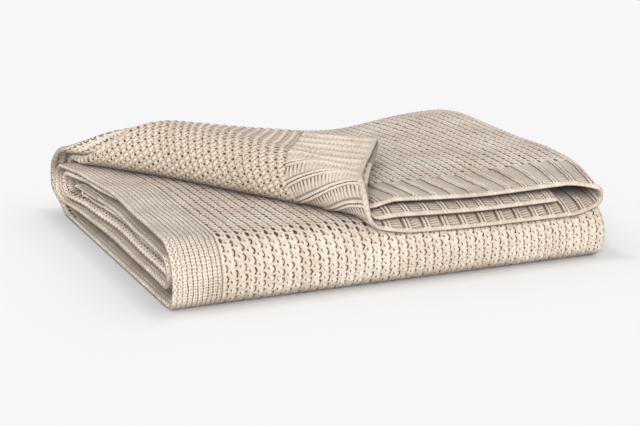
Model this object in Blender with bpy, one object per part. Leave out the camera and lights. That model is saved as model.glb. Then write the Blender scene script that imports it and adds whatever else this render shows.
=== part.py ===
# Knitted cotton throw blanket, folded. One cloth is folded in three across its
# width, rolled flat in five passes along its length, and its front left corner
# is turned back over the top. +X runs along the folded length to the closed
# right end, +Y to the back, +Z up. The origin is under the middle, on the
# surface that the throw lies on.
#
# The cloth starts as a flat plate. It is scored along its fold lines and every
# point is then carried through three folds: the fold in three, the turned
# corner, and the flat roll. Each fold follows a route of runs and bends.

import math
from collections import namedtuple

import bmesh
import bpy
from mathutils import Vector

# Folded size
FOLD_LENGTH = 0.435
FRONT_Y = -0.2
BACK_Y = 0.18

# Cloth
THICKNESS = 0.0036
LAYER_PITCH = 0.0045
GROUP_GAP = 0.0005
GROUP_PITCH = 3 * LAYER_PITCH + GROUP_GAP
STACK_HALF = LAYER_PITCH + THICKNESS / 2

# Fold in three, across the width
CLOSED_FOLD_INSET = 0.016
TUCK_SHIFT = 0.009
TUCK_ACROSS_SPAN = (0.44, 0.47)
TUCK_ALONG_SPAN = (0.9, 1.05)
TUCK_X_SPAN = (0.0, 0.15)
TUCKED_EDGE_INSET = 0.05
OUTER_TURN = LAYER_PITCH
INNER_TURN = LAYER_PITCH / 2
TURN_STEPS = 5
PANEL_STEPS = 6

# Ribbed hem: the ribs stop a little short of the plain knit
RIB_DEPTH = 0.06
HEM_DEPTH = 0.066
RIB_PITCH = 0.019
RIB_WIDTH = 0.008
RIB_START = 0.0057
PANEL_RECESS = 0.3

# Turned corner: where its fold starts on the hem, and its angle to the length.
# It has a narrow nose and a wider crown, and grows along its fold, where it
# also sinks behind its crown.
CORNER_X = -0.014
CORNER_ANGLE = math.radians(118.3)
NOSE_RADIUS = 0.008
NOSE_TURN = math.radians(110)
CROWN_RADIUS = 0.0125
CORNER_GROWTH = 1.05
GROWTH_REACH = 0.22
CORNER_STEPS = 12
SINK = 0.006
SINK_SPAN = (0.022, 0.05)

# Flat roll, along the length of the cloth
SHOULDER_RADIUS = 0.025
TOE_RADIUS = 0.013
TOE_TURN = math.radians(76)
DROOP = math.radians(50)
INNER_BACK_GAP = 0.004
INNER_FRONT_GAP = 0.004
CORE_END_GAP = 0.03

# Unevenness. The top pass is lifted at its hem and at its right end, and held
# down by the turn at the back. Each span runs from none to full.
HEM_LIFT = 0.006
HEM_LIFT_SPAN = (0.11, 0.015)
END_LIFT = 0.006
END_LIFT_SPAN = (0.07, 0.2)
BACK_HOLD_SPAN = (0.37, 0.3)

# How the pile's height varies: it is loose over its middle and left end, and
# pressed down elsewhere. Columns: x span, y span, change of scale.
HEIGHT_SCALE = 1.09
HEIGHT_CHANGES = (
    ((-0.12, 0.1), (-0.06, -0.2), -0.13),
    ((0.1, 0.2), (-0.02, 0.17), 0.05),
    ((-0.05, -0.18), (-0.02, 0.14), -0.05),
)
DIP_X = 0.08
DIP_WIDTH = 0.06
DIP_SPAN = (0.0, 0.17)
DIP_CHANGE = -0.12

# How far the hem lies behind its foremost point. Columns: the panel, where on
# it along X, and the distance.
HEM_SETBACKS = (
    ("outer", -0.148, 0.018),
    ("outer", -0.05, 0.02),
    ("outer", -0.018, 0.024),
    ("outer", 0.18, 0.022),
    ("inner", 0.18, 0.0),
    ("inner", 0.01, 0.0),
    ("inner", -0.08, 0.02),
    ("middle", -0.13, 0.016),
    ("middle", 0.0, 0.013),
)

# How far the ends have crept along X. Columns: y, shift.
LEFT_END = ((-0.2, 0.0), (-0.1, 0.003), (0.0, 0.007), (0.09, 0.003), (0.16, -0.007))
RIGHT_END = ((-0.2, -0.008), (-0.05, -0.003), (0.1, 0.0))
TOP_RIGHT_END = ((-0.19, -0.003), (-0.12, 0.01), (0.0, 0.006), (0.12, 0.003))
CREEP_SPAN = (0.1, 0.2)
OVERHANG_SPAN = (0.05, 0.068)
FLOOR_HOLD_SPAN = (0.004, 0.03)

CLOTH_COLOUR = (0.6, 0.5, 0.4, 1)
CLOTH_ROUGHNESS = 0.9

Stretch = namedtuple("Stretch", "length turn steps")
Placed = namedtuple("Placed", "start length across up heading curvature steps")


def clear_scene():
    for old in list(bpy.data.objects):
        bpy.data.objects.remove(old, do_unlink=True)


def smooth(value, low, high):
    share = min(max((value - low) / (high - low), 0.0), 1.0)
    return share * share * (3 - 2 * share)


def interpolate(rows, value):
    # rows hold (position, amount), eased from each row to the next
    if value <= rows[0][0]:
        return rows[0][1]
    for (start, first), (end, second) in zip(rows, rows[1:]):
        if value <= end:
            return first + (second - first) * smooth(value, start, end)
    return rows[-1][1]


def run(length, steps):
    return Stretch(length, 0.0, steps)


def bend(turn, radius, steps):
    # clockwise where the turn is positive
    return Stretch(abs(turn) * radius, turn, steps)


def walk(distance, across, up, heading, curvature):
    if not curvature:
        return across + distance * math.cos(heading), up + distance * math.sin(heading), heading
    turned = heading - distance * curvature
    across += (math.sin(heading) - math.sin(turned)) / curvature
    up += (math.cos(turned) - math.cos(heading)) / curvature
    return across, up, turned


class Route:
    # the middle line of a fold, seen from its end

    def __init__(self, across, up, heading, stretches):
        self.placed = []
        self.length = 0.0
        for length, turn, steps in stretches:
            curvature = turn / length
            self.placed.append(Placed(self.length, length, across, up, heading, curvature, steps))
            across, up, heading = walk(length, across, up, heading, curvature)
            self.length += length

    def place(self, along, offset):
        # the point this far along the route, moved to its left by the offset
        stretch = [part for part in self.placed if part.start <= max(along, 0.0)][-1]
        inside = min(max(along - stretch.start, 0.0), stretch.length)
        across, up, heading = walk(inside, *stretch[2:6])
        across, up, heading = walk(along - stretch.start - inside, across, up, heading, 0.0)
        return across - offset * math.sin(heading), up + offset * math.cos(heading)

    def score_lines(self):
        lines = []
        for part in self.placed:
            lines += [part.start + part.length * step / part.steps for step in range(part.steps)]
        return lines[1:]


def fold_in_three():
    # the outer panel, the inner one below it, and the middle one tucked between
    left = -FOLD_LENGTH / 2
    right = FOLD_LENGTH / 2 - OUTER_TURN - THICKNESS / 2
    closed = left + CLOSED_FOLD_INSET + INNER_TURN + THICKNESS / 2
    tucked = FOLD_LENGTH / 2 - TUCKED_EDGE_INSET
    return Route(left, LAYER_PITCH, 0.0, [
        run(right - left, PANEL_STEPS),
        bend(math.pi, OUTER_TURN, TURN_STEPS),
        run(right - closed, PANEL_STEPS),
        bend(math.pi, INNER_TURN, TURN_STEPS),
        run(tucked - closed, PANEL_STEPS - 1),
    ])


def turned_over():
    # seen along the corner's fold, where it is narrowest: up and over, then level
    return Route(0.0, 0.0, 0.0, [
        bend(-NOSE_TURN, NOSE_RADIUS, 1),
        bend(NOSE_TURN - math.pi, CROWN_RADIUS, 1),
        run(FOLD_LENGTH, 1),
    ])


def flat_roll():
    # seen from the right: the top pass, the bottom one, and three passes inside
    shoulder_y = FRONT_Y + STACK_HALF + SHOULDER_RADIUS
    top_radius = SHOULDER_RADIUS + GROUP_PITCH
    back_radius = 2 * GROUP_PITCH
    back_y = BACK_Y - STACK_HALF - back_radius
    toe_rise = TOE_RADIUS * (1 - math.cos(TOE_TURN))
    shoulder_rise = SHOULDER_RADIUS * (1 + math.cos(TOE_TURN))
    face = (3 * GROUP_PITCH - toe_rise - shoulder_rise) / math.sin(TOE_TURN)
    toe_y = shoulder_y + (TOE_RADIUS - SHOULDER_RADIUS) * math.sin(TOE_TURN) + face * math.cos(TOE_TURN)
    inner_back_y = BACK_Y - 3 * STACK_HALF - INNER_BACK_GAP - GROUP_PITCH
    inner_front_y = FRONT_Y + 3 * STACK_HALF + INNER_FRONT_GAP + GROUP_PITCH / 2
    core_end_y = inner_back_y - CORE_END_GAP
    hem_y = shoulder_y - top_radius * math.sin(DROOP)
    hem_z = STACK_HALF + 4 * GROUP_PITCH - top_radius * (1 - math.cos(DROOP))
    return Route(hem_y, hem_z, DROOP, [
        bend(DROOP, top_radius, 3),
        run(back_y - shoulder_y, 6),
        bend(math.pi, back_radius, 9),
        run(back_y - toe_y, 4),
        bend(TOE_TURN, TOE_RADIUS, 4),
        run(face, 1),
        bend(math.pi - TOE_TURN, SHOULDER_RADIUS, 5),
        run(inner_back_y - shoulder_y, 4),
        bend(math.pi, GROUP_PITCH, 7),
        run(inner_back_y - inner_front_y, 3),
        bend(math.pi, GROUP_PITCH / 2, 6),
        run(core_end_y - inner_front_y, 2),
    ])


def hem_setback(width_route, across):
    outer, inner, middle = width_route.placed[::2]
    rows = []
    for panel, x, distance in HEM_SETBACKS:
        if panel == "outer":
            rows.append((x - outer.across, distance))
        elif panel == "inner":
            rows.append((inner.start + inner.across - x, distance))
        else:
            rows.append((middle.start + x - middle.across, distance))
    return interpolate(rows, across)


def rib_lines(width):
    lines = []
    for rib in range(int((width - RIB_START) / RIB_PITCH)):
        foot = RIB_START + rib * RIB_PITCH
        lines += [foot, foot + RIB_WIDTH / 2, foot + RIB_WIDTH]
    return lines


def rib_crown(across):
    phase = (across - RIB_START + RIB_PITCH / 4) % RIB_PITCH - RIB_PITCH / 4
    return max(1 - abs(2 * phase / RIB_WIDTH - 1), 0.0)


def score(cloth, point, normal, faces=None):
    faces = cloth.faces[:] if faces is None else faces
    edges = {edge for face in faces for edge in face.edges}
    verts = {vert for face in faces for vert in face.verts}
    bmesh.ops.bisect_plane(
        cloth,
        geom=list(verts) + list(edges) + list(faces),
        dist=1e-6,
        plane_co=point,
        plane_no=normal,
    )


def flat_cloth(width, length):
    cloth = bmesh.new()
    bmesh.ops.create_cube(cloth, size=1)
    for vert in cloth.verts:
        x, y, z = vert.co
        vert.co = Vector(((x + 0.5) * width, (y + 0.5) * length, z * THICKNESS))
    return cloth


def rib_the_hem(cloth, width):
    # the panels between the ribs are thinner on both sides
    score(cloth, (0, HEM_DEPTH, 0), (0, 1, 0))
    score(cloth, (0, RIB_DEPTH, 0), (0, 1, 0))
    for line in rib_lines(width):
        hem = [face for face in cloth.faces if face.calc_center_median().y < RIB_DEPTH]
        score(cloth, (line, 0, 0), (1, 0, 0), hem)
    ribbed = (RIB_DEPTH + HEM_DEPTH) / 2
    for vert in cloth.verts:
        if vert.co.y < ribbed:
            vert.co.z *= 1 - PANEL_RECESS * (1 - rib_crown(vert.co.x))


def wrap_width(cloth, width_route, length):
    for line in width_route.score_lines():
        score(cloth, (line, 0, 0), (1, 0, 0))
    for vert in cloth.verts:
        across, along, lift = vert.co
        setback = hem_setback(width_route, across) * (1 - along / length)
        x, stacked = width_route.place(across, lift)
        tuck = smooth(across, *TUCK_ACROSS_SPAN) * smooth(along, *TUCK_ALONG_SPAN) * smooth(-x, *TUCK_X_SPAN)
        vert.co = Vector((x - TUCK_SHIFT * tuck, along + setback, stacked))


def turn_corner(cloth):
    along = Vector((math.cos(CORNER_ANGLE), math.sin(CORNER_ANGLE)))
    outward = Vector((-along.y, along.x))
    start = Vector((CORNER_X, 0.0))
    route = turned_over()
    widest = route.placed[2].start * (1 + CORNER_GROWTH)
    for reach in [widest * step / CORNER_STEPS for step in range(CORNER_STEPS + 2)]:
        line = start + outward * reach
        score(cloth, (line.x, line.y, 0), (outward.x, outward.y, 0))
    for vert in cloth.verts:
        place = vert.co.xy
        reach = (place - start).dot(outward)
        if reach <= 0:
            continue
        grown = smooth((place - start).dot(along), 0.0, GROWTH_REACH)
        size = 1 + CORNER_GROWTH * grown
        shift, lift = route.place(reach / size, vert.co.z / size)
        place += outward * (shift * size - reach)
        sink = SINK * grown * smooth(reach / size, *SINK_SPAN)
        vert.co = Vector((place.x, place.y, lift * size - sink))


def looseness(x, along, stacked):
    # how far the panels of the top pass stand off the innermost one, beyond
    # their pitch: at the hem, and all along the closed right end
    half = THICKNESS / 2
    panels = ((half - LAYER_PITCH, 0.0), (-half, 0.5), (half, 0.5), (LAYER_PITCH - half, 1.0))
    hem = smooth(along, *HEM_LIFT_SPAN) * smooth(x, CORNER_X - 2 * STACK_HALF, CORNER_X + 2 * STACK_HALF)
    right = smooth(x, *END_LIFT_SPAN) * smooth(along, *BACK_HOLD_SPAN)
    return (HEM_LIFT * hem + END_LIFT * right * (1 - hem / 2)) * interpolate(panels, stacked)


def roll_up(cloth, length_route):
    for line in length_route.score_lines():
        score(cloth, (0, line, 0), (0, 1, 0))
    for vert in cloth.verts:
        x, along, stacked = vert.co
        y, z = length_route.place(along, stacked + looseness(x, along, stacked))
        vert.co = Vector((x, y, z))


def height_scale(x, y):
    scale = HEIGHT_SCALE
    for x_span, y_span, change in HEIGHT_CHANGES:
        scale += change * smooth(x, *x_span) * smooth(y, *y_span)
    dip = math.exp(-(((x - DIP_X) / DIP_WIDTH) ** 2))
    return scale + DIP_CHANGE * dip * smooth(y, *DIP_SPAN)


def end_shift(x, y, z):
    # the layer on the floor stays straight at the left, the top hangs over at
    # the right
    left = interpolate(LEFT_END, y) * smooth(z, *FLOOR_HOLD_SPAN)
    right = interpolate(RIGHT_END, y) + interpolate(TOP_RIGHT_END, y) * smooth(z, *OVERHANG_SPAN)
    return left * smooth(-x, *CREEP_SPAN) + right * smooth(x, *CREEP_SPAN)


def settle(cloth):
    for vert in cloth.verts:
        x, y, z = vert.co
        vert.co.x = x + end_shift(x, y, z)
        vert.co.z = z * height_scale(x, y)


def centre(cloth):
    for axis in range(2):
        values = [vert.co[axis] for vert in cloth.verts]
        middle = (min(values) + max(values)) / 2
        for vert in cloth.verts:
            vert.co[axis] -= middle


def cloth_material():
    material = bpy.data.materials.new("oatmeal_knit")
    material.use_nodes = True
    shader = material.node_tree.nodes["Principled BSDF"]
    shader.inputs["Base Color"].default_value = CLOTH_COLOUR
    shader.inputs["Roughness"].default_value = CLOTH_ROUGHNESS
    shader.inputs["Metallic"].default_value = 0
    return material


def throw_blanket(collection):
    width_route = fold_in_three()
    length_route = flat_roll()
    cloth = flat_cloth(width_route.length, length_route.length)
    rib_the_hem(cloth, width_route.length)
    wrap_width(cloth, width_route, length_route.length)
    turn_corner(cloth)
    roll_up(cloth, length_route)
    settle(cloth)
    centre(cloth)
    bmesh.ops.recalc_face_normals(cloth, faces=cloth.faces[:])
    mesh = bpy.data.meshes.new("throw_blanket")
    cloth.to_mesh(mesh)
    cloth.free()
    mesh.materials.append(cloth_material())
    blanket = bpy.data.objects.new("throw_blanket", mesh)
    collection.objects.link(blanket)
    return blanket


def main():
    clear_scene()
    collection = bpy.data.collections.new("folded_throw_blanket")
    bpy.context.scene.collection.children.link(collection)
    throw_blanket(collection)


main()
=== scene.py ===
import math

import bpy
import numpy as np
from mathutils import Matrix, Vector
from mathutils.bvhtree import BVHTree


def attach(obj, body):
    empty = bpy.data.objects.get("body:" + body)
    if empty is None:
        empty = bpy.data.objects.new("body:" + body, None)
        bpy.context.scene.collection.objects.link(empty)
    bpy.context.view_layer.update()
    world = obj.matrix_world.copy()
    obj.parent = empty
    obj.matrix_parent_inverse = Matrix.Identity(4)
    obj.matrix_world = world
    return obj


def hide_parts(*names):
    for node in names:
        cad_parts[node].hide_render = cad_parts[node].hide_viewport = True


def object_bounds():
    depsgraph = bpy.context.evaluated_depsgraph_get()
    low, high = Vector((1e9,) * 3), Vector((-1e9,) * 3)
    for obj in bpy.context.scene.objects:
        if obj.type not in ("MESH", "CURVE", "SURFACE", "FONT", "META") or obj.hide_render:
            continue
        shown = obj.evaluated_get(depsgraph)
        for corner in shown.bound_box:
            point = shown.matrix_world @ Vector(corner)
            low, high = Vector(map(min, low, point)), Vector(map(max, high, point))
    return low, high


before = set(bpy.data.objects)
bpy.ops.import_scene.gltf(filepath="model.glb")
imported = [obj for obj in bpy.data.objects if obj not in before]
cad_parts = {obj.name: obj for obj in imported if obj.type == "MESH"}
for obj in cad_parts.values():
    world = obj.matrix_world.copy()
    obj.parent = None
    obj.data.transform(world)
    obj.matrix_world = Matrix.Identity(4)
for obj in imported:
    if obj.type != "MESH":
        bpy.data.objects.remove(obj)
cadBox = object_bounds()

scene = bpy.context.scene

# the camera, fitted to the photo
view = dict(
    place=(-0.6066, -1.389, 0.4213),
    yaw=-23.59,
    pitch=14.83,
    lens=88.9,
)
camera = bpy.data.objects.new("camera", bpy.data.cameras.new("camera"))
camera.data.lens = view["lens"]
camera.data.sensor_width = 36
camera.location = view["place"]
camera.rotation_euler = (math.radians(90 - view["pitch"]), 0, math.radians(view["yaw"]))
scene.collection.objects.link(camera)
scene.camera = camera
print("camera placed")

# The folded cloth in metres, as the CAD has it
fold = dict(
    length=0.435,
    frontY=-0.2,
    backY=0.18,
    thickness=0.0036,
    layerPitch=0.0045,
    groupGap=0.0005,
    closedInset=0.016,
    tuckedInset=0.05,
    cornerX=-0.014,
    cornerAngle=118.3,
    noseRadius=0.008,
    noseTurn=110,
    crownRadius=0.0125,
    cornerGrowth=1.05,
    growthReach=0.22,
    sink=0.006,
    sinkSpan=(0.022, 0.05),
    shoulderRadius=0.025,
    toeRadius=0.013,
    toeTurn=76,
    droop=50,
    innerBackGap=0.004,
    innerFrontGap=0.004,
    coreEndGap=0.03,
    hemLift=0.006,
    hemLiftSpan=(0.11, 0.015),
    endLift=0.006,
    endLiftSpan=(0.07, 0.2),
    backHoldSpan=(0.37, 0.3),
    heightScale=1.09,
    dipX=0.08,
    dipWidth=0.06,
    dipSpan=(0.0, 0.17),
    dipChange=-0.12,
    creepSpan=(0.1, 0.2),
    overhangSpan=(0.05, 0.068),
    floorHoldSpan=(0.004, 0.03),
    tuckShift=0.009,
    tuckFrom=(0.44, 0.47),
    tuckSpan=(0.9, 1.05),
    tuckAt=(0.0, 0.15),
    middle=(-0.001128, -0.01015),
    plump=0.0002,
)
heightChanges = (  # x span, y span, change of scale
    ((-0.12, 0.1), (-0.06, -0.2), -0.13),
    ((0.1, 0.2), (-0.02, 0.17), 0.05),
    ((-0.05, -0.18), (-0.02, 0.14), -0.05),
)
hemSetbacks = (  # panel, x, distance behind the foremost point
    (0, -0.148, 0.018), (0, -0.05, 0.02), (0, -0.018, 0.024), (0, 0.18, 0.022),
    (1, 0.18, 0.0), (1, 0.01, 0.0), (1, -0.08, 0.02),
    (2, -0.13, 0.016), (2, 0.0, 0.013),
)
# how far the ends have crept: y, shift along X
leftEnd = ((-0.2, 0.0), (-0.1, 0.003), (0.0, 0.007), (0.09, 0.003), (0.16, -0.007))
rightEnd = ((-0.2, -0.008), (-0.05, -0.003), (0.1, 0.0))
topRightEnd = ((-0.19, -0.003), (-0.12, 0.01), (0.0, 0.006), (0.12, 0.003))

half = fold["thickness"] / 2
groupPitch = 3 * fold["layerPitch"] + fold["groupGap"]
stackHalf = fold["layerPitch"] + half


def smooth(value, low, high):
    share = np.clip((value - low) / (high - low), 0, 1)
    return share * share * (3 - 2 * share)


def interpolate(rows, value):
    # rows hold (position, amount), eased from each row to the next
    amount = np.full(np.shape(value), float(rows[0][1]))
    for (start, first), (end, second) in zip(rows, rows[1:]):
        amount += (second - first) * smooth(value, start, end)
    return amount


def walk(distance, across, up, heading, curvature):
    # one stretch of a route, straight or bent
    bent = np.where(curvature == 0, 1.0, curvature)
    turned = heading - distance * bent
    straight = curvature == 0
    acrossBend = (np.sin(heading) - np.sin(turned)) / bent
    upBend = (np.cos(turned) - np.cos(heading)) / bent
    across = across + np.where(straight, distance * np.cos(heading), acrossBend)
    up = up + np.where(straight, distance * np.sin(heading), upBend)
    return across, up, np.where(straight, heading, turned)


class Route:
    # the middle line of a fold, seen from its end, in stretches of (length, turn)
    def __init__(self, across, up, heading, stretches):
        rows = []
        start = 0.0
        for length, turn in stretches:
            rows.append((start, length, across, up, heading, turn / length))
            across, up, heading = walk(length, across, up, heading, np.float64(turn / length))
            start += length
        self.rows = np.array(rows, dtype=float)
        self.length = start

    def place(self, along, offset):
        # the point this far along the route, moved to its left by the offset
        index = np.clip(np.searchsorted(self.rows[:, 0], along, side="right") - 1, 0, None)
        start, length, across, up, heading, curvature = np.moveaxis(self.rows[index], -1, 0)
        inside = np.clip(along - start, 0, length)
        beyond = along - start - inside
        across, up, heading = walk(inside, across, up, heading, curvature)
        across = across + beyond * np.cos(heading)
        up = up + beyond * np.sin(heading)
        return across - offset * np.sin(heading), up + offset * np.cos(heading)

    def skin(self, margin):
        # lengths along the middle line, and along a skin this far outside it
        lengths = self.rows[:, 1]
        outer = lengths * (1 + np.abs(self.rows[:, 5]) * margin)
        return np.append(0, np.cumsum(lengths)), np.append(0, np.cumsum(outer))


def bend(turn, radius):
    # clockwise where the turn is positive
    return abs(turn) * radius, turn


def foldInThree():
    left = -fold["length"] / 2
    right = fold["length"] / 2 - fold["layerPitch"] - half
    closed = left + fold["closedInset"] + fold["layerPitch"] / 2 + half
    tucked = fold["length"] / 2 - fold["tuckedInset"]
    return Route(left, fold["layerPitch"], 0.0, [
        (right - left, 0),
        bend(math.pi, fold["layerPitch"]),
        (right - closed, 0),
        bend(math.pi, fold["layerPitch"] / 2),
        (tucked - closed, 0),
    ])


def turnedOver():
    nose = math.radians(fold["noseTurn"])
    return Route(0.0, 0.0, 0.0, [
        bend(-nose, fold["noseRadius"]),
        bend(nose - math.pi, fold["crownRadius"]),
        (fold["length"], 0),
    ])


def flatRoll():
    shoulder, toe = fold["shoulderRadius"], fold["toeRadius"]
    turn, droop = math.radians(fold["toeTurn"]), math.radians(fold["droop"])
    shoulderY = fold["frontY"] + stackHalf + shoulder
    topRadius = shoulder + groupPitch
    backRadius = 2 * groupPitch
    backY = fold["backY"] - stackHalf - backRadius
    rises = toe * (1 - math.cos(turn)) + shoulder * (1 + math.cos(turn))
    face = (3 * groupPitch - rises) / math.sin(turn)
    toeY = shoulderY + (toe - shoulder) * math.sin(turn) + face * math.cos(turn)
    innerBackY = fold["backY"] - 3 * stackHalf - fold["innerBackGap"] - groupPitch
    innerFrontY = fold["frontY"] + 3 * stackHalf + fold["innerFrontGap"] + groupPitch / 2
    hemY = shoulderY - topRadius * math.sin(droop)
    hemZ = stackHalf + 4 * groupPitch - topRadius * (1 - math.cos(droop))
    return Route(hemY, hemZ, droop, [
        bend(droop, topRadius),
        (backY - shoulderY, 0),
        bend(math.pi, backRadius),
        (backY - toeY, 0),
        bend(turn, toe),
        (face, 0),
        bend(math.pi - turn, shoulder),
        (innerBackY - shoulderY, 0),
        bend(math.pi, groupPitch),
        (innerBackY - innerFrontY, 0),
        bend(math.pi, groupPitch / 2),
        (innerBackY - fold["coreEndGap"] - innerFrontY, 0),
    ])


widthRoute, cornerRoute, lengthRoute = foldInThree(), turnedOver(), flatRoll()
clothWidth, clothLength = widthRoute.length, lengthRoute.length
cornerTurn = math.radians(fold["cornerAngle"])
cornerAlong = np.array([math.cos(cornerTurn), math.sin(cornerTurn)])
cornerOutward = np.array([-cornerAlong[1], cornerAlong[0]])


def setBack(across, along):
    # the place along the cloth, with the three hems staggered at the front
    outer, inner, tucked = widthRoute.rows[::2]
    ends = (outer[0] - outer[2], inner[0] + inner[2], tucked[0] - tucked[2])
    turns = (1, -1, 1)  # the middle panel runs the other way
    setbacks = [(ends[panel] + turns[panel] * x, distance) for panel, x, distance in hemSetbacks]
    return along + interpolate(setbacks, across) * (1 - along / clothLength)


def cornerReach(x, along):
    # how far past the corner's fold, and how much wider the fold is there
    axis = (x - fold["cornerX"]) * cornerAlong[0] + along * cornerAlong[1]
    reach = (x - fold["cornerX"]) * cornerOutward[0] + along * cornerOutward[1]
    return np.maximum(reach, 0), smooth(axis, 0, fold["growthReach"])


def turnCorner(x, along, lift):
    reach, grown = cornerReach(x, along)
    size = 1 + fold["cornerGrowth"] * grown
    shift, raised = cornerRoute.place(reach / size, lift / size)
    moved = np.where(reach > 0, shift * size - reach, 0)
    raised = raised * size - fold["sink"] * grown * smooth(reach / size, *fold["sinkSpan"])
    x, along = x + cornerOutward[0] * moved, along + cornerOutward[1] * moved
    return x, along, np.where(reach > 0, raised, lift)


def throughWidth(across, along, lift):
    x, stacked = widthRoute.place(across, lift)
    tuck = smooth(across, *fold["tuckFrom"]) * smooth(along, *fold["tuckSpan"])
    tuck *= smooth(-x, *fold["tuckAt"])
    return turnCorner(x - fold["tuckShift"] * tuck, setBack(across, along), stacked)


def cornerSlip(across, along, lift):
    # how far the stitches slip past the corner's fold, where an outer layer takes a longer way
    x, stacked = widthRoute.place(across, lift)
    reach, grown = cornerReach(x, setBack(across, along))
    starts = np.append(cornerRoute.rows[:, 0], cornerRoute.length)
    turned = np.append(0, np.cumsum(np.abs(cornerRoute.rows[:, 5] * cornerRoute.rows[:, 1])))
    slip = -stacked * np.interp(reach / (1 + fold["cornerGrowth"] * grown), starts, turned)
    heading = np.interp(across, widthRoute.rows[:, 0], widthRoute.rows[:, 4])
    return slip * cornerOutward[0] * np.cos(heading), slip * cornerOutward[1]


def looseness(x, along, stacked):
    # how far the upper panels of the top pass are lifted at the hem and the right end
    pitch = fold["layerPitch"]
    panels = ((half - pitch, 0.0), (-half, 0.5), (half, 0.5), (pitch - half, 1.0))
    hem = smooth(along, *fold["hemLiftSpan"])
    hem *= smooth(x, fold["cornerX"] - 2 * stackHalf, fold["cornerX"] + 2 * stackHalf)
    right = smooth(x, *fold["endLiftSpan"]) * smooth(along, *fold["backHoldSpan"])
    lift = fold["hemLift"] * hem + fold["endLift"] * right * (1 - hem / 2)
    return lift * interpolate(panels, stacked)


def heightScale(x, y):
    scale = fold["heightScale"]
    for xSpan, ySpan, change in heightChanges:
        scale = scale + change * smooth(x, *xSpan) * smooth(y, *ySpan)
    dip = np.exp(-(((x - fold["dipX"]) / fold["dipWidth"]) ** 2))
    return scale + fold["dipChange"] * dip * smooth(y, *fold["dipSpan"])


def endShift(x, y, z):
    left = interpolate(leftEnd, y) * smooth(z, *fold["floorHoldSpan"])
    right = interpolate(rightEnd, y)
    right += interpolate(topRightEnd, y) * smooth(z, *fold["overhangSpan"])
    return left * smooth(-x, *fold["creepSpan"]) + right * smooth(x, *fold["creepSpan"])


def foldCloth(across, along, side, relief=0.0):
    # where a point of the cloth's face lies, with its stitch's relief
    x, flat, level = throughWidth(across, along, side * half)
    loose = looseness(x, flat, level)
    x, flat, level = throughWidth(across, along, side * (half + fold["plump"] + relief))
    y, z = lengthRoute.place(flat, level + loose)
    z = np.maximum(z * heightScale(x, y), 0.0001)
    return np.stack([x + endShift(x, y, z) - fold["middle"][0], y - fold["middle"][1], z], -1)


# The lattice of stitches. The rows and columns are counted along the outside of
# the folds, so the stitches there are as wide as on the flat.
knit = dict(
    width=0.0085,
    height=0.0086,
    cells=8,
    borderWidth=0.044,
    hemDepth=0.066,
    relief=0.0006,
    hole=0.0014,
    loft=0.5,
    archRadius=0.33,
    wale=0.0044,
    waleRise=0.0005,
    waleSink=0.0003,
    ribPitch=0.019,
    ribStart=0.0057,
    ridges=(0.0016, 0.0052),
    ridgeWidth=0.0013,
    ridgeRise=0.0015,
    panelSink=0.0008,
    edgeRoll=0.0046,
    beadPitch=0.0046,
    beadRise=0.0003,
    seamSink=0.0005,
    hemSeamSink=0.0002,
    edgeRound=0.0022,
    wave=0.0006,
    waveMargin=0.02,
    mossBack=(0.49, 0.42),
    stretchSpan=(0.4, 0.3),
    lyingSpan=(0.6, 0.92),
    tuckedShadeSpan=(3.4, 0.8),
    turnedSpan=(0.0, 0.003),
    loftSpan=(0.8, 4.0),
    bakeGap=0.005,
)
acrossAt, skinAcross = widthRoute.skin(half)
alongAt, skinAlong = lengthRoute.skin(stackHalf)
columns = round(skinAcross[-1] / knit["width"])
rows = round(skinAlong[-1] / knit["height"])
cells = knit["cells"]
stitchWidth, stitchHeight = skinAcross[-1] / columns, skinAlong[-1] / rows
sLines = np.linspace(0, skinAcross[-1], columns * cells + 1)
wLines = np.linspace(0, skinAlong[-1], rows * cells + 1)
uLines = np.interp(sLines, skinAcross, acrossAt)
vLines = np.interp(wLines, skinAlong, alongAt)
stitchSize = [round(size * 1000, 2) for size in (stitchWidth, stitchHeight)]
print("stitches", columns, "by", rows, "of", *stitchSize, "mm")

# How closely each stitch is modelled, by how open it lies to the room
detail = dict(
    rings=((12, 12), (45, 8)),  # elevation and number of the directions that are tried
    hidden=0.1,
    shaded=0.6,
    open=3.5,
    steps=(1, 2, 4, 8),
)


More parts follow.
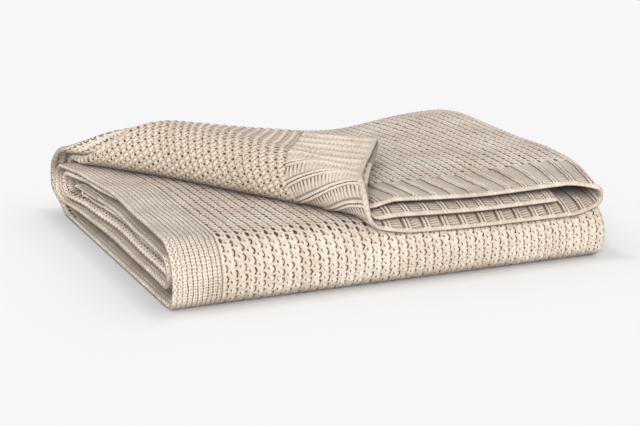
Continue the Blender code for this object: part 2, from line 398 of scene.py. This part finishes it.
def surveyStitches():
    # for both faces of each stitch: how open, whether the camera sees it, how level it lies
    u, v = np.meshgrid(uLines[::cells], vLines[::cells], indexing="ij")
    grids = [foldCloth(u, v, side) for side in (1, -1)]
    count = u.size
    index = np.arange(count).reshape(u.shape)
    ring = (index[:-1, :-1], index[1:, :-1], index[1:, 1:], index[:-1, 1:])
    quads = np.stack(ring, -1).reshape(-1, 4)
    points = np.concatenate([grid.reshape(-1, 3) for grid in grids])
    faces = np.concatenate([quads, quads[:, ::-1] + count])
    tree = BVHTree.FromPolygons(points.tolist(), faces.tolist())
    corners = points[faces]
    centres = corners.mean(1)
    normals = np.cross(corners[:, 2] - corners[:, 0], corners[:, 3] - corners[:, 1])
    normals /= np.linalg.norm(normals, axis=1)[:, None]
    directions = [(0, 0, 1)]
    for elevation, turns in detail["rings"]:
        lean = math.radians(elevation)
        for turn in range(turns):
            angle = 2 * math.pi * turn / turns
            flatX, flatY = math.cos(angle) * math.cos(lean), math.sin(angle) * math.cos(lean)
            directions.append((flatX, flatY, math.sin(lean)))
    directions = np.array(directions)
    eye = np.array(view["place"])
    openness = np.zeros(len(faces))
    seen = np.zeros(len(faces))
    for number, (centre, normal) in enumerate(zip(centres, normals)):
        start = Vector(centre + normal * 0.0004)
        for direction in directions[directions @ normal > 0.05]:
            if tree.ray_cast(start, Vector(direction))[0] is None:
                openness[number] += direction @ normal
        toEye = eye - centre
        toEye /= np.linalg.norm(toEye)
        if toEye @ normal > 0 and tree.ray_cast(start, Vector(toEye))[0] is None:
            seen[number] = 1
    shape = (2, columns, rows)
    return openness.reshape(shape), seen.reshape(shape), np.abs(normals[:, 2]).reshape(shape)


def spread(field):
    # the most of each block and its eight neighbours
    padded = np.pad(field, ((0, 0), (1, 1), (1, 1)), mode="edge")
    parts = [padded[:, i:i + columns, j:j + rows] for i in range(3) for j in range(3)]
    return np.max(parts, axis=0)


openness, seen, levelness = surveyStitches()
stepOf = np.full(openness.shape, cells)  # cells between the points of a stitch
stepOf[spread(openness) > detail["hidden"]] = 4
stepOf[openness > detail["shaded"]] = 2
stepOf[spread(seen) > 0] = 2
stepOf[(seen > 0) | (openness > detail["open"])] = 1
print("stitch detail", {step: int((stepOf == step).sum()) for step in detail["steps"]})


def wave(s, w, scale, turn):
    # a soft uneven drift over the cloth
    a, b = s * 2 * math.pi / scale, w * 2 * math.pi / scale
    return (np.sin(a + 0.7 * np.sin(b * 0.6 + turn)) * np.cos(b * 0.9 + 1.3 * turn)
            + 0.5 * np.sin(2.3 * b + 1.7 * a + 2.1 * turn) + 0.5 * np.sin(2.9 * a - 1.1 * b + turn)) / 2


def mossRelief(s, w, dotted, lying):
    # a raised loop in each stitch with an arched gap at its right, or two round gaps
    # where the knit is stretched, shallower where it lies level
    cu, cv = s / stitchWidth, w / stitchHeight
    x = cu - np.floor(cu) - 0.5
    y = np.mod(cv + 0.5 * np.mod(np.floor(cu), 2), 1) - 0.5
    loop = np.clip(1 - ((x - 0.02) ** 2 + y ** 2) / 0.2, 0, 1)
    arc = np.hypot(x - 0.03, y)
    arch = smooth(np.abs(arc - knit["archRadius"]), 0.16, 0.05)
    arch *= smooth(np.abs(y), 0.4, 0.28) * smooth(x, 0.08, 0.2)
    pairX = np.mod(2 * cu, 1) / 2 - 0.25
    pair = smooth(np.hypot(pairX, np.mod(cv, 1) - 0.5), 0.2, 0.05)
    oval = np.clip(1 - (pairX / 0.24) ** 2 - ((np.mod(cv + 0.5, 1) - 0.5) / 0.42) ** 2, 0, 1)
    curved = knit["relief"] * (loop - 0.35) * (1 - 0.8 * lying)
    curved -= knit["hole"] * arch * (1 - 0.5 * lying)
    pierced = knit["relief"] * oval - knit["hole"] * pair * (1 - 0.4 * lying)
    return curved * (1 - dotted) + pierced * dotted


def borderRelief(s):
    wale = np.abs(np.sin(math.pi * s / knit["wale"]))
    return knit["waleRise"] * np.sqrt(wale) - knit["waleSink"]


def mound(distance, width):
    return np.exp(-((distance / width) ** 2))


def hemRelief(s, fromEdge):
    # pairs of ridges, and a beaded roll along the edge
    phase = np.mod(s - knit["ribStart"], knit["ribPitch"])
    ridge = np.max([mound(phase - at, knit["ridgeWidth"]) for at in knit["ridges"]], axis=0)
    ribbed = knit["ridgeRise"] * ridge - knit["panelSink"]
    edge = smooth(fromEdge, knit["edgeRoll"], knit["edgeRoll"] - 0.0014)
    bead = 0.5 + 0.5 * np.cos(2 * math.pi * (s + 0.8 * fromEdge) / knit["beadPitch"])
    return ribbed * (1 - edge) + edge * (knit["beadRise"] * bead - 0.0001)


def edges(s, v):
    # distances from the nearest side and hem, and from the side border, whose place
    # the moss stitch takes at the back
    side = np.minimum(s, skinAcross[-1] - s)
    fromBorder = side + knit["borderWidth"] * smooth(v, *knit["mossBack"])
    return side, np.minimum(v, clothLength - v), fromBorder


def relief(s, w, side, fromHem, fromBorder, dotted, lying, loft):
    hem = smooth(fromHem, knit["hemDepth"] + 0.0006, knit["hemDepth"] - 0.0006)
    border = smooth(fromBorder, knit["borderWidth"] + 0.0006, knit["borderWidth"] - 0.0006)
    height = mossRelief(s, w, dotted, lying) * (1 - border) + borderRelief(s) * border
    height = height * (1 - hem) + hemRelief(s, fromHem) * hem
    height -= knit["seamSink"] * mound(fromBorder - knit["borderWidth"], 0.0009) * (1 - hem)
    height -= knit["hemSeamSink"] * mound(fromHem - knit["hemDepth"], 0.0012)
    # the free edges are rounded over
    near = np.clip(np.minimum(fromHem, side) / knit["edgeRound"], 0, 1)
    return height * loft * near - half * 0.75 * (1 - np.sqrt(1 - (1 - near) ** 2))


def perimeter(size):
    # the points round a square of cells, in order
    steps = list(range(size))
    return ([(i, 0) for i in steps] + [(size, j) for j in steps]
            + [(size - i, size) for i in steps] + [(0, size - j) for j in steps])


def usedPoints():
    # which points of the lattice the stitches take, at each one's own detail
    used = np.zeros((2, columns * cells + 1, rows * cells + 1), bool)
    i = np.arange(columns * cells + 1)[:, None]
    j = np.arange(rows * cells + 1)[None, :]
    full = np.repeat(np.repeat(stepOf, cells, 1), cells, 2)
    padded = np.pad(full, ((0, 0), (1, 1), (1, 1)), constant_values=255)
    for a in (0, 1):
        for b in (0, 1):
            near = padded[:, a:a + used.shape[1], b:b + used.shape[2]]
            for step in detail["steps"]:
                used |= (near == step) & ((i % step == 0) & (j % step == 0))[None]
    return used


def bilinear(field, side, i, j):
    # a value of the stitches, read between their centres
    i = np.clip(i - 0.5, 0, columns - 1.001)
    j = np.clip(j - 0.5, 0, rows - 1.001)
    a, b = i.astype(int), j.astype(int)
    p, q = i - a, j - b
    return ((field[side, a, b] * (1 - p) + field[side, a + 1, b] * p) * (1 - q)
            + (field[side, a, b + 1] * (1 - p) + field[side, a + 1, b + 1] * p) * q)


used = usedPoints()
pointIndex = np.full(used.shape, -1)
pointIndex[used] = np.arange(used.sum())
sideAt, iAt, jAt = np.nonzero(used)
sAt, wAt = sLines[iAt], wLines[jAt]
vAt = vLines[jAt]
sides = np.where(sideAt == 0, 1.0, -1.0)
fromSide, fromHem, fromBorder = edges(sAt, vAt)
inPlane = knit["wave"] * smooth(fromSide, 0, knit["waveMargin"])
inPlane *= smooth(fromHem, 0, knit["waveMargin"])
slipAcross, slipAlong = cornerSlip(uLines[iAt], vAt, sides * half)
sPattern = sAt + inPlane * wave(sAt, wAt, 0.11, 0.4) + slipAcross
wPattern = wAt + inPlane * wave(sAt, wAt, 0.09, 2.1) + slipAlong
# where the knit is stretched, lies level, is tucked between layers (darkened there with painted shade),
# or is turned back
dotted = smooth(sAt, skinAcross[1], skinAcross[2]) * smooth(vAt, *knit["stretchSpan"])
openAt = bilinear(openness, sideAt, iAt / cells, jAt / cells)
levelAt = bilinear(levelness, sideAt, iAt / cells, jAt / cells)
lying = smooth(levelAt, *knit["lyingSpan"])
# painted shade where the cloth lies tucked between layers, where little light reaches
tucked = smooth(openAt, *knit["tuckedShadeSpan"])
turnedBack = smooth(np.abs(slipAlong), *knit["turnedSpan"])
loft = 1 + knit["loft"] * smooth(openAt, *knit["loftSpan"])
raised = relief(sPattern, wPattern, fromSide, fromHem, fromBorder, dotted, lying, loft)
points = foldCloth(uLines[iAt], vAt, sides, raised)
print("points", len(points))


def loopsOf(candidates):
    # polygons from rows of candidate points, where -1 is one that isn't there
    keep = candidates >= 0
    return candidates[keep], keep.sum(1)


def facePolygons(side, box):
    # a polygon for each cell, with the finer points of its neighbours along its rim
    i0, i1, j0, j1 = box
    found = []
    for step in detail["steps"]:
        bi, bj = np.nonzero(stepOf[side, i0:i1, j0:j1] == step)
        if not len(bi):
            continue
        parts = np.arange(0, cells, step)
        ci = ((bi + i0) * cells)[:, None, None] + parts[None, :, None]
        cj = ((bj + j0) * cells)[:, None, None] + parts[None, None, :]
        ci, cj = np.broadcast_arrays(ci, cj)
        rim = np.array(perimeter(step))
        i = ci.reshape(-1, 1) + rim[:, 0]
        j = cj.reshape(-1, 1) + rim[:, 1]
        candidates = pointIndex[side, i, j]
        found.append(loopsOf(candidates if side == 0 else candidates[:, ::-1]))
    return found


def wallPolygons(box):
    # the cloth's thickness along the four sides of the box
    i0, i1, j0, j1 = (value * cells for value in box)
    found = []
    for a0, a1, fixed, alongI, flip in (
            (i0, i1, j0, True, False), (i0, i1, j1, True, True),
            (j0, j1, i0, False, True), (j0, j1, i1, False, False)):
        if alongI:
            upper, lower = pointIndex[:, a0:a1 + 1, fixed]
        else:
            upper, lower = pointIndex[:, fixed, a0:a1 + 1]
        stops = np.nonzero((upper >= 0) & (lower >= 0))[0]
        for start, stop in zip(stops, stops[1:]):
            top = upper[start:stop + 1]
            under = lower[start:stop + 1]
            ring = np.concatenate([under[under >= 0], top[top >= 0][::-1]])
            found.append((ring[::-1] if flip else ring, np.array([len(ring)])))
    return found


def meshNormals(loops, counts):
    # vertex normals of the whole cloth, so its pieces meet without a seam
    starts = np.append(0, np.cumsum(counts)[:-1])
    which = np.repeat(np.arange(len(counts)), counts)
    place = np.arange(len(loops)) - starts[which]
    following = starts[which] + np.mod(place + 1, counts[which])
    here, after = points[loops], points[loops[following]]
    area = np.zeros((len(counts), 3))
    crossed = np.cross(here, after)
    for axis in range(3):
        area[:, axis] = np.bincount(which, crossed[:, axis], len(counts))
    normals = np.zeros(points.shape)
    for axis in range(3):
        normals[:, axis] = np.bincount(loops, area[which, axis], len(points))
    return normals / np.maximum(np.linalg.norm(normals, axis=1), 1e-20)[:, None]


whole = (0, columns, 0, rows)
allPolygons = facePolygons(0, whole) + facePolygons(1, whole) + wallPolygons(whole)
pointNormals = meshNormals(*(np.concatenate(part) for part in zip(*allPolygons)))


def bakePlaces(loops, counts, box, wallCount):
    # flat places for baking: the outer face, the inner face above it, then a strip for each wall
    i0, i1, j0, j1 = (value * cells for value in box)
    wide, tall = sLines[i1] - sLines[i0], wLines[j1] - wLines[j0]
    gap = knit["bakeGap"]
    starts = np.append(0, np.cumsum(counts)[:-1])
    strip = np.full(len(counts), -1)  # -1 for the faces
    for number, (line, at) in enumerate(((jAt, j0), (jAt, j1), (iAt, i0), (iAt, i1))):
        strip[np.logical_and.reduceat(line[loops] == at, starts)] = number
    strip[:len(counts) - wallCount] = -1
    strip = np.repeat(strip, counts)
    across, along, face = sAt[loops] - sLines[i0], wAt[loops] - wLines[j0], sideAt[loops]
    right = np.where(strip > 1, along, across)
    up = np.where(strip < 0, along + face * (tall + gap), 2 * (tall + gap) + (strip * 2 + face) * gap)
    return np.stack([right, up], -1) / max(wide, tall, 2 * (tall + gap) + 8 * gap)


def clothPiece(name, box, material):
    walls = wallPolygons(box)
    polygons = facePolygons(0, box) + facePolygons(1, box) + walls
    loops, counts = (np.concatenate(part) for part in zip(*polygons))
    flatPlaces = bakePlaces(loops, counts, box, len(walls))
    kept, loops = np.unique(loops, return_inverse=True)
    mesh = bpy.data.meshes.new(name)
    mesh.vertices.add(len(kept))
    mesh.vertices.foreach_set("co", points[kept].astype(np.float32).ravel())
    mesh.loops.add(len(loops))
    mesh.loops.foreach_set("vertex_index", loops.astype(np.int32))
    mesh.polygons.add(len(counts))
    mesh.polygons.foreach_set("loop_start", np.append(0, np.cumsum(counts)[:-1]).astype(np.int32))
    mesh.update(calc_edges=True)
    mesh.uv_layers.new(name="OFBake").uv.foreach_set("vector", flatPlaces.astype(np.float32).ravel())
    mesh.validate()
    mesh.polygons.foreach_set("use_smooth", np.ones(len(mesh.polygons), bool))
    for label, parts in (
            ("stitchPlace", (sPattern, wPattern, dotted)),
            ("stitchEdge", (fromBorder, fromHem, lying)),
            ("stitchShadeAndTurn", (tucked, turnedBack, 0 * tucked))):
        values = mesh.attributes.new(label, "FLOAT_VECTOR", "POINT")
        values.data.foreach_set("vector", np.stack(parts, -1)[kept].astype(np.float32).ravel())
    mesh.normals_split_custom_set_from_vertices(pointNormals[kept].astype(np.float32).tolist())
    mesh.materials.append(material)
    piece = bpy.data.objects.new(name, mesh)
    scene.collection.objects.link(piece)
    piece.data.calc_loop_triangles()
    print(name, len(piece.data.loop_triangles), "triangles")
    return piece


class Wire:
    # a socket that adds, multiplies and so on by adding Math nodes
    tree = None

    def __init__(self, socket):
        self.socket = socket

    @classmethod
    def node(cls, kind, settings=None, values=None, out=0):
        made = cls.tree.nodes.new(kind)
        for key, value in (settings or {}).items():
            setattr(made, key, value)
        for key, value in (values or {}).items():
            if isinstance(value, Wire):
                cls.tree.links.new(value.socket, made.inputs[key])
            else:
                made.inputs[key].default_value = value
        return cls(made.outputs[out])

    def maths(self, operation, *others, flip=False):
        terms = [self, *others]
        if flip:
            terms.reverse()
        return Wire.node("ShaderNodeMath", {"operation": operation}, dict(enumerate(terms)))

    def __add__(self, other): return self.maths("ADD", other)
    def __radd__(self, other): return self.maths("ADD", other, flip=True)
    def __sub__(self, other): return self.maths("SUBTRACT", other)
    def __rsub__(self, other): return self.maths("SUBTRACT", other, flip=True)
    def __mul__(self, other): return self.maths("MULTIPLY", other)
    def __rmul__(self, other): return self.maths("MULTIPLY", other, flip=True)
    def __truediv__(self, other): return self.maths("DIVIDE", other)
    def __pow__(self, other): return self.maths("POWER", other)
    def fract(self): return self.maths("FRACT")
    def floor(self): return self.maths("FLOOR")
    def abs(self): return self.maths("ABSOLUTE")
    def sqrt(self): return self.maths("SQRT")
    def least(self, other): return self.maths("MINIMUM", other)
    def most(self, other): return self.maths("MAXIMUM", other)

    def parts(self):
        split = Wire.node("ShaderNodeSeparateXYZ", None, {0: self})
        return [Wire(socket) for socket in split.socket.node.outputs]

    def ramp(self, low, high):
        # 0 at low to 1 at high, eased
        return Wire.node(
            "ShaderNodeMapRange", {"interpolation_type": "SMOOTHSTEP"},
            {"Value": self, "From Min": low, "From Max": high, "To Min": 0.0, "To Max": 1.0})


def attribute(name):
    return Wire.node("ShaderNodeAttribute", {"attribute_name": name}, out="Vector")


def noise(place, scale, **values):
    return Wire.node("ShaderNodeTexNoise", {"noise_dimensions": "3D"},
                     {"Vector": place, "Scale": scale, **values})


def blend(share, first, second):
    return Wire.node("ShaderNodeMix", {"data_type": "RGBA"},
                     {"Factor": share, "A": first, "B": second}, out="Result")


def smear(x, y, width, height):
    # 1 at the centre of a soft oval, 0 at its rim
    distance = ((x / width) ** 2 + (y / height) ** 2).sqrt()
    return distance.ramp(1.0, 0.35)


yarn = dict(
    light=(0.93, 0.845, 0.745, 1),
    mid=(0.54, 0.43, 0.335, 1),
    # the dark brown of painted shade in the knit's holes and gaps
    shadeTone=(0.055, 0.03, 0.016, 1),
    jitter=0.0022,
    jitterScale=150.0,
    fibreScale=1400.0,
    plyScale=420.0,
    driftScale=22.0,
    borderCourse=0.0029,
    hemCourse=0.0037,
    bump=0.8,
    bumpDepth=0.001,
    roughness=0.88,
    sheen=0.12,
    specular=0.2,
)


def knitMaterial():
    material = bpy.data.materials.new("oatmeal_knit")
    material.use_nodes = True
    tree = material.node_tree
    Wire.tree = tree
    shader = tree.nodes["Principled BSDF"]
    place = attribute("stitchPlace")
    s, w, dotted = place.parts()
    fromSide, fromHem, lying = attribute("stitchEdge").parts()
    tucked, turned = attribute("stitchShadeAndTurn").parts()[:2]
    crest = lying * turned  # the top of the turned corner
    hem = fromHem.ramp(knit["hemDepth"] + 0.0004, knit["hemDepth"] - 0.0004)
    border = fromSide.ramp(knit["borderWidth"] + 0.0004, knit["borderWidth"] - 0.0004)
    jitter = Wire.node("ShaderNodeTexNoise", {"noise_dimensions": "3D"},
                       {"Vector": place, "Scale": yarn["jitterScale"], "Detail": 1.0}, out="Color")
    shiftS, shiftW, uneven = jitter.parts()
    s = s + (shiftS - 0.5) * (1 - hem * 0.65) * yarn["jitter"]
    w = w + (shiftW - 0.5) * yarn["jitter"]
    vary = 0.55 + uneven * 0.9

    # moss stitch, with painted shade in its gaps: an arched gap at the right of each loop, painted as
    # its shadow, with shaded holes at its ends, a shaded stroke at its left, and a wider shaded hollow
    # where the cloth lies level
    cu, cv = s / stitchWidth, w / stitchHeight
    x = cu.fract() - 0.5
    y = (cv + cu.floor() * 0.5).fract() - 0.5
    loopX = x - 0.03
    radius = (loopX * loopX + y * y).sqrt()
    arch = (radius - knit["archRadius"]).abs().ramp(0.09, 0.025)
    arch = arch * (loopX - y.abs() * 0.5).ramp(0.0, 0.08)
    dotShade = smear(x - 0.20, y + 0.27, 0.17, 0.13).most(smear(x - 0.17, y - 0.29, 0.14, 0.11) * 0.85)
    tickShade = smear(x + 0.32 + y * 0.35, y - 0.12, 0.10, 0.20) * 0.85
    # painted shade in a wider hollow where the cloth lies level
    pitShade = (smear(x - 0.2, y, 0.27, 0.43) * 2.4).least(1.0) * lying.ramp(0.3, 1.0)
    curved = (arch * 0.95).most(dotShade).most(tickShade)
    pairX = (cu * 2.0).fract() * 0.5 - 0.25
    pairY = cv.fract() - 0.5 + x.ramp(-0.02, 0.02) * 0.12 - 0.06
    ovalY = (pairY + 1.0).fract() - 0.5
    # stretched moss: two holes a stitch, their darkness painted shade, longer on a level part, with two
    # shaded ticks next to them
    pierced = smear(pairX, pairY, 0.17, 0.19) * (1 - x.ramp(-0.02, 0.02) * 0.2)
    pierced = pierced.most(smear(pairX, pairY, 0.15, 0.34) * lying * 0.8)
    pierced = pierced.most(smear(pairX + 0.19 - ovalY * 0.2, ovalY + 0.2, 0.08, 0.14) * 0.9)
    pierced = pierced.most(smear(pairX - 0.17, ovalY - 0.12, 0.09, 0.11) * 0.75)
    # painted shade of the moss stitch's gaps and holes, and the shadow each loop casts at its right
    mossShade = (curved * (1 - dotted) + pierced * dotted) * vary
    mossShade = mossShade.most(pitShade * (1 - dotted) * (vary * 0.3 + 0.75))
    mossHigh = (1 - radius * 2.2).most(0.0) * (1 - dotted)
    mossHigh = mossHigh + smear(pairX, ovalY, 0.22, 0.42) * dotted * 0.8
    # painted shade in the hollows between the loops, where they shade each other
    mossValleyShade = mossHigh.ramp(0.35, 0.0) * (0.45 + lying * (1 - dotted) * 0.1 + dotted * 0.5)

    # plain border: wales with painted shade in the dotted trough between them and in the row of holes
    # along the edge
    wale = (s / knit["wale"]).fract() - 0.5
    course = (w / yarn["borderCourse"] - wale.abs() * 0.9).fract() - 0.5
    # painted shade in the trough between wales
    waleValleyShade = wale.abs().ramp(0.30, 0.46)
    wales = fromSide.ramp(0.007, 0.011)
    chain = course.abs().ramp(0.42, 0.18)
    stagger = (w / yarn["borderCourse"]).floor() * 0.5
    # painted shade in the holes along the edge
    edgeHoleShade = ((s / 0.0033 + stagger).fract() - 0.5).abs().ramp(0.30, 0.46) * chain
    borderShade = waleValleyShade * (0.12 + 0.7 * chain)
    borderShade = borderShade.most(smear(wale, course.abs() - 0.5, 0.2, 0.3) * 0.5) * wales
    borderShade = borderShade.most(edgeHoleShade * (1 - wales) * 0.8) * vary

    # ribbed hem: pairs of ridges, panels with fine courses, and a beaded edge, with painted shade in
    # the grooves, along the ridges' sides, between the courses and between the beads
    rib = (s - knit["ribStart"]) / knit["ribPitch"]
    ribX = rib.fract() * knit["ribPitch"]
    panel = ribX.ramp(0.0066, 0.0076)
    groove = (ribX - 0.0034).abs().ramp(0.0009, 0.0003)
    ribCourse = (w / yarn["hemCourse"] + ribX * 60).fract() - 0.5
    slit = ribCourse.abs().ramp(0.08, 0.26)
    # painted shade in the slits between the panel's courses
    panelShade = panel * (1 - slit) * (0.25 + 0.7 * ribX.ramp(0.011, 0.018)) * vary
    panelShade = panelShade * (1 - lying * 0.3 - crest * 0.35)
    grooveDots = ((w / 0.0026).fract() - 0.5).abs().ramp(0.4, 0.2)
    # painted shade in the dotted groove between the ridges
    grooveShade = groove * (0.5 + 0.5 * grooveDots) * (1 - panel)
    # painted shade along both sides of each ridge, changed by how level the cloth lies
    sides = (ribX - 0.0074).abs().ramp(0.0017, 0.0004).most(ribX.ramp(0.0012, 0.0))
    sides = sides * (0.65 + lying * 0.3 - crest * 0.75)
    courses = panel * ribCourse.abs().ramp(0.3, 0.1) * (0.4 - crest * 0.25)
    hemShade = panelShade.most(grooveShade).most(sides).most(courses)
    edge = fromHem.ramp(knit["edgeRoll"], knit["edgeRoll"] - 0.001)
    bead = ((s + fromHem * 0.8) / knit["beadPitch"]).fract() - 0.5
    hemShade = hemShade * (1 - edge) + edge * bead.abs().ramp(0.34, 0.49) * 0.2 * vary

    # all three together, with the seams between them, and painted shade where the cloth is tucked
    # between layers
    dark = mossShade * (1 - border) + borderShade * border
    dark = dark * (1 - hem) + hemShade * hem
    seam = (fromSide - knit["borderWidth"]).abs().ramp(0.0011, 0.0003) * (1 - hem) * 0.55
    hemSeam = (fromHem - knit["hemDepth"]).abs().ramp(0.0011, 0.0004) * 0.2
    dark = dark.most(seam).most(hemSeam)
    # painted shade where the cloth is tucked between layers and little light reaches it
    dark = dark.most(tucked * (0.3 + vary * 0.25))

    # the yarn's own tones, darkened with painted shade between the loops, wales and ridges
    fibre = noise(place, yarn["fibreScale"], Detail=3.0, Roughness=0.6)
    ply = noise(place, yarn["plyScale"], Detail=2.0, Roughness=0.5)
    drift = noise(place, yarn["driftScale"], Detail=2.0)
    valleyShades = mossValleyShade * (1 - border) + waleValleyShade * border
    valleyShades = valleyShades * (1 - hem) + panel * 0.35 * hem
    tone = (ply * 0.5 + fibre * 0.3 + drift * 0.5 - 0.15).ramp(0.25, 0.75)
    tone = tone * (1 - valleyShades * 0.8) * (1 - dotted * 0.2)
    # the marks blend the yarn's tone towards the dark brown of painted shade
    colour = blend(dark * 0.95, blend(tone, yarn["mid"], yarn["light"]), yarn["shadeTone"])
    tree.links.new(colour.socket, shader.inputs["Base Color"])

    height = mossHigh * (1 - border) * (1 - hem) * 0.15 - dark + ply * 0.35 + fibre * 0.25
    bump = Wire.node("ShaderNodeBump", None, {
        "Height": height, "Strength": yarn["bump"], "Distance": yarn["bumpDepth"]})
    tree.links.new(bump.socket, shader.inputs["Normal"])
    shader.inputs["Roughness"].default_value = yarn["roughness"]
    shader.inputs["Sheen Weight"].default_value = yarn["sheen"]
    shader.inputs["Sheen Roughness"].default_value = 0.5
    shader.inputs["Specular IOR Level"].default_value = yarn["specular"]
    return material


def rowAt(v):
    return round(float(np.interp(v, alongAt, skinAlong)) / stitchHeight)


# The cloth is cut along its stitches into pieces, at these distances from its hem
cuts = dict(hem=knit["hemDepth"], top=0.35, back=0.46, base=0.74, front=1.14)
hemRow, topRow, backRow, baseRow, frontRow = (rowAt(v) for v in cuts.values())
turnColumn = round(skinAcross[2] / stitchWidth) + 1
knitted = knitMaterial()
pieces = (  # name, first and last column, first and last row
    ("throw_hem", 0, columns, 0, hemRow),
    ("throw_top", 0, turnColumn, hemRow, topRow),
    ("throw_flap", turnColumn, columns, hemRow, topRow),
    ("throw_back", 0, columns, topRow, backRow),
    ("throw_base", 0, columns, backRow, baseRow),
    ("throw_front", 0, columns, baseRow, frontRow),
    ("throw_core", 0, columns, frontRow, rows),
)
for name, i0, i1, j0, j1 in pieces:
    piece = clothPiece(name, (i0, i1, j0, j1), knitted)
    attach(piece, "root")
    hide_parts("throw_blanket")
print("cloth made")

# A pale floor, a little darker against the cloth as a painted shadow, and with light of its own farther
# out
stage = dict(
    floor=(0.95, 0.95, 0.95, 1),
    farFloor=(0.18, 0.18, 0.18, 1),
    glow=0.755,
    # a painted shadow on the floor against the cloth
    contactShadow=(0.82, 0.82, 0.82, 1),
    contactShadowSpan=(-0.004, 0.022),
    spread=(0.0, 0.12),
    room=0.72,
    key=2.1,
    keyFrom=(-0.8, -1.39, 0.65),
    keySoftness=25,
)
bpy.ops.mesh.primitive_plane_add(size=14, location=(0, 3, 0))
floor = bpy.context.object
floor.name = "floor"
floorLook = bpy.data.materials.new("pale_floor")
floorLook.use_nodes = True
floorShader = floorLook.node_tree.nodes["Principled BSDF"]
floorShader.inputs["Roughness"].default_value = 1.0
floorShader.inputs["Specular IOR Level"].default_value = 0.0
Wire.tree = floorLook.node_tree
floorX, floorY = Wire.node("ShaderNodeNewGeometry", out="Position").parts()[:2]
halfLength, halfDepth = ((cadBox[1][axis] - cadBox[0][axis]) / 2 for axis in (0, 1))
fromCloth = (floorX.abs() - halfLength).most(floorY.abs() - halfDepth)
away = fromCloth.ramp(*stage["spread"])
# painted shadow: the floor's colour darker right against the cloth
shadowedFloor = blend(fromCloth.ramp(*stage["contactShadowSpan"]), stage["contactShadow"], stage["floor"])
for socket, shade in (
        ("Base Color", blend(away, shadowedFloor, stage["farFloor"])),
        ("Emission Color", blend(away, (0.0, 0.0, 0.0, 1), (1.0, 1.0, 1.0, 1)))):
    floorLook.node_tree.links.new(shade.socket, floorShader.inputs[socket])
floorShader.inputs["Emission Strength"].default_value = stage["glow"]
floor.data.materials.append(floorLook)

key = bpy.data.lights.new("key", "SUN")
key.energy = stage["key"]
key.angle = math.radians(stage["keySoftness"])
lamp = bpy.data.objects.new("key", key)
lamp.rotation_euler = Vector(stage["keyFrom"]).to_track_quat("Z", "Y").to_euler()
scene.collection.objects.link(lamp)
world = bpy.data.worlds.new("room")
scene.world = world
world.use_nodes = True
background = world.node_tree.nodes["Background"]
background.inputs["Color"].default_value = (1, 1, 1, 1)
background.inputs["Strength"].default_value = stage["room"]
scene.view_settings.view_transform = "Standard"
print("stage set")
